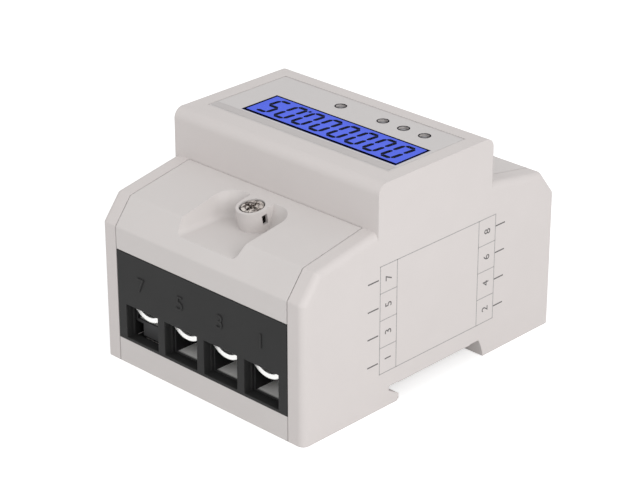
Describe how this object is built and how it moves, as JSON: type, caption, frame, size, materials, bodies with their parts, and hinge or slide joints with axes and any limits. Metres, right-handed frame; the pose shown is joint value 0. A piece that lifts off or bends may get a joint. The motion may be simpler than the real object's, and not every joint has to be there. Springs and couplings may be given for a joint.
{
  "type": "DIN rail energy meter",
  "caption": "Energy meter for a mounting rail, with sloped terminal covers over black clamp blocks, a raised display block and a sprung rail clip.",
  "frame": {"origin": "middle of the underside", "axes": "+X along the rail, +Z from the rail to the display, -Y towards the supply terminals 1, 3, 5, 7 and +Y towards the rail clip"},
  "size_m": [0.076, 0.1, 0.065],
  "materials": {
    "housing": "fine spark-eroded texture, light grey",
    "base": "fine texture, light grey",
    "terminal_cover": "fine texture, light grey",
    "terminal_block": "black, glass-filled",
    "cage_steel": "zinc-plated, pressed",
    "screw_steel": "zinc-plated",
    "seal_screw": "nickel-plated",
    "insert_brass": "turned",
    "conductor": "tinned copper, bright",
    "transformer_case": "potted case",
    "board": "lacquered laminate",
    "chip": "moulded",
    "capacitor": "shrink sleeve",
    "film": "box case",
    "varistor": "dipped coating",
    "pin_strip": "pin strip body",
    "lcd": "blue backlit display",
    "light_guide": "clear diffuser",
    "nameplate": "printed film, satin",
    "display_window": "clear lens",
    "indicator": "water-clear lamp, unlit",
    "clip_plastic": "black, smooth",
    "spring_steel": "flat spring strip"
  },
  "bodies": {
    "meter": {"housing": "housing", "base": "base", "cover_front": "terminal_cover", "cover_back": "terminal_cover", "terminal_block_front": "terminal_block", "terminal_block_back": "terminal_block", "board_screws": "screw_steel", "display_screws": "screw_steel", "block_screws": "screw_steel", "seal_screw_front": "seal_screw", "seal_screw_back": "seal_screw", "seal_insert_front": "insert_brass", "seal_insert_back": "insert_brass", "conductor_bar_1": "conductor", "conductor_bar_2": "conductor", "conductor_bar_3": "conductor", "conductor_bar_4": "conductor", "current_transformer_1": "transformer_case", "current_transformer_2": "transformer_case", "current_transformer_3": "transformer_case", "power_transformer": "transformer_case", "main_board": "board", "display_board": "board", "meter_chip": "chip", "controller_chip": "chip", "electrolytic_1": "capacitor", "electrolytic_2": "capacitor", "film_capacitor": "film", "varistor": "varistor", "board_link": "pin_strip", "lcd": "lcd", "light_guide": "light_guide", "nameplate": "nameplate", "display_window": "display_window", "indicator_1": "indicator", "indicator_2": "indicator", "indicator_3": "indicator", "indicator_4": "indicator", "clip_spring": "spring_steel"},
    "screw_1": {"terminal_screw_1": "screw_steel"},
    "clamp_1": {"cage_clamp_1": "cage_steel"},
    "screw_2": {"terminal_screw_2": "screw_steel"},
    "clamp_2": {"cage_clamp_2": "cage_steel"},
    "screw_3": {"terminal_screw_3": "screw_steel"},
    "clamp_3": {"cage_clamp_3": "cage_steel"},
    "screw_4": {"terminal_screw_4": "screw_steel"},
    "clamp_4": {"cage_clamp_4": "cage_steel"},
    "screw_5": {"terminal_screw_5": "screw_steel"},
    "clamp_5": {"cage_clamp_5": "cage_steel"},
    "screw_6": {"terminal_screw_6": "screw_steel"},
    "clamp_6": {"cage_clamp_6": "cage_steel"},
    "screw_7": {"terminal_screw_7": "screw_steel"},
    "clamp_7": {"cage_clamp_7": "cage_steel"},
    "screw_8": {"terminal_screw_8": "screw_steel"},
    "clamp_8": {"cage_clamp_8": "cage_steel"},
    "clip": {"rail_clip": "clip_plastic"}
  },
  "joints": [
    {"name": "screw_1_turn", "type": "hinge", "parent": "meter", "child": "screw_1", "pos_m": [0.02286, -0.0417, 0.0305], "axis": [0, 0, 1], "range_deg": [-2116, 0]},
    {"name": "clamp_1_lift", "type": "slide", "parent": "meter", "child": "clamp_1", "axis": [0, 0, 1], "range_m": [0, 0.0047]},
    {"name": "screw_2_turn", "type": "hinge", "parent": "meter", "child": "screw_2", "pos_m": [0.02286, 0.0417, 0.0305], "axis": [0, 0, 1], "range_deg": [-2116, 0]},
    {"name": "clamp_2_lift", "type": "slide", "parent": "meter", "child": "clamp_2", "axis": [0, 0, 1], "range_m": [0, 0.0047]},
    {"name": "screw_3_turn", "type": "hinge", "parent": "meter", "child": "screw_3", "pos_m": [0.00762, -0.0417, 0.0305], "axis": [0, 0, 1], "range_deg": [-2116, 0]},
    {"name": "clamp_3_lift", "type": "slide", "parent": "meter", "child": "clamp_3", "axis": [0, 0, 1], "range_m": [0, 0.0047]},
    {"name": "screw_4_turn", "type": "hinge", "parent": "meter", "child": "screw_4", "pos_m": [0.00762, 0.0417, 0.0305], "axis": [0, 0, 1], "range_deg": [-2116, 0]},
    {"name": "clamp_4_lift", "type": "slide", "parent": "meter", "child": "clamp_4", "axis": [0, 0, 1], "range_m": [0, 0.0047]},
    {"name": "screw_5_turn", "type": "hinge", "parent": "meter", "child": "screw_5", "pos_m": [-0.00762, -0.0417, 0.0305], "axis": [0, 0, 1], "range_deg": [-2116, 0]},
    {"name": "clamp_5_lift", "type": "slide", "parent": "meter", "child": "clamp_5", "axis": [0, 0, 1], "range_m": [0, 0.0047]},
    {"name": "screw_6_turn", "type": "hinge", "parent": "meter", "child": "screw_6", "pos_m": [-0.00762, 0.0417, 0.0305], "axis": [0, 0, 1], "range_deg": [-2116, 0]},
    {"name": "clamp_6_lift", "type": "slide", "parent": "meter", "child": "clamp_6", "axis": [0, 0, 1], "range_m": [0, 0.0047]},
    {"name": "screw_7_turn", "type": "hinge", "parent": "meter", "child": "screw_7", "pos_m": [-0.02286, -0.0417, 0.0305], "axis": [0, 0, 1], "range_deg": [0, 2116]},
    {"name": "clamp_7_lift", "type": "slide", "parent": "meter", "child": "clamp_7", "axis": [0, 0, 1], "range_m": [-0.0047, 0]},
    {"name": "screw_8_turn", "type": "hinge", "parent": "meter", "child": "screw_8", "pos_m": [-0.02286, 0.0417, 0.0305], "axis": [0, 0, 1], "range_deg": [-2116, 0]},
    {"name": "clamp_8_lift", "type": "slide", "parent": "meter", "child": "clamp_8", "axis": [0, 0, 1], "range_m": [0, 0.0047]},
    {"name": "clip_pull", "type": "slide", "parent": "meter", "child": "clip", "axis": [0, 1, 0], "range_m": [0, 0.004], "stiffness_N_per_m": 600, "springref_m": -0.002, "deforming": ["clip_spring"]}
  ],
  "couplings": [
    {"joint": "screw_1_turn", "follows": "clamp_1_lift", "rad_per_m": -7854},
    {"joint": "screw_2_turn", "follows": "clamp_2_lift", "rad_per_m": -7854},
    {"joint": "screw_3_turn", "follows": "clamp_3_lift", "rad_per_m": -7854},
    {"joint": "screw_4_turn", "follows": "clamp_4_lift", "rad_per_m": -7854},
    {"joint": "screw_5_turn", "follows": "clamp_5_lift", "rad_per_m": -7854},
    {"joint": "screw_6_turn", "follows": "clamp_6_lift", "rad_per_m": -7854},
    {"joint": "screw_7_turn", "follows": "clamp_7_lift", "rad_per_m": -7854},
    {"joint": "screw_8_turn", "follows": "clamp_8_lift", "rad_per_m": -7854}
  ]
}
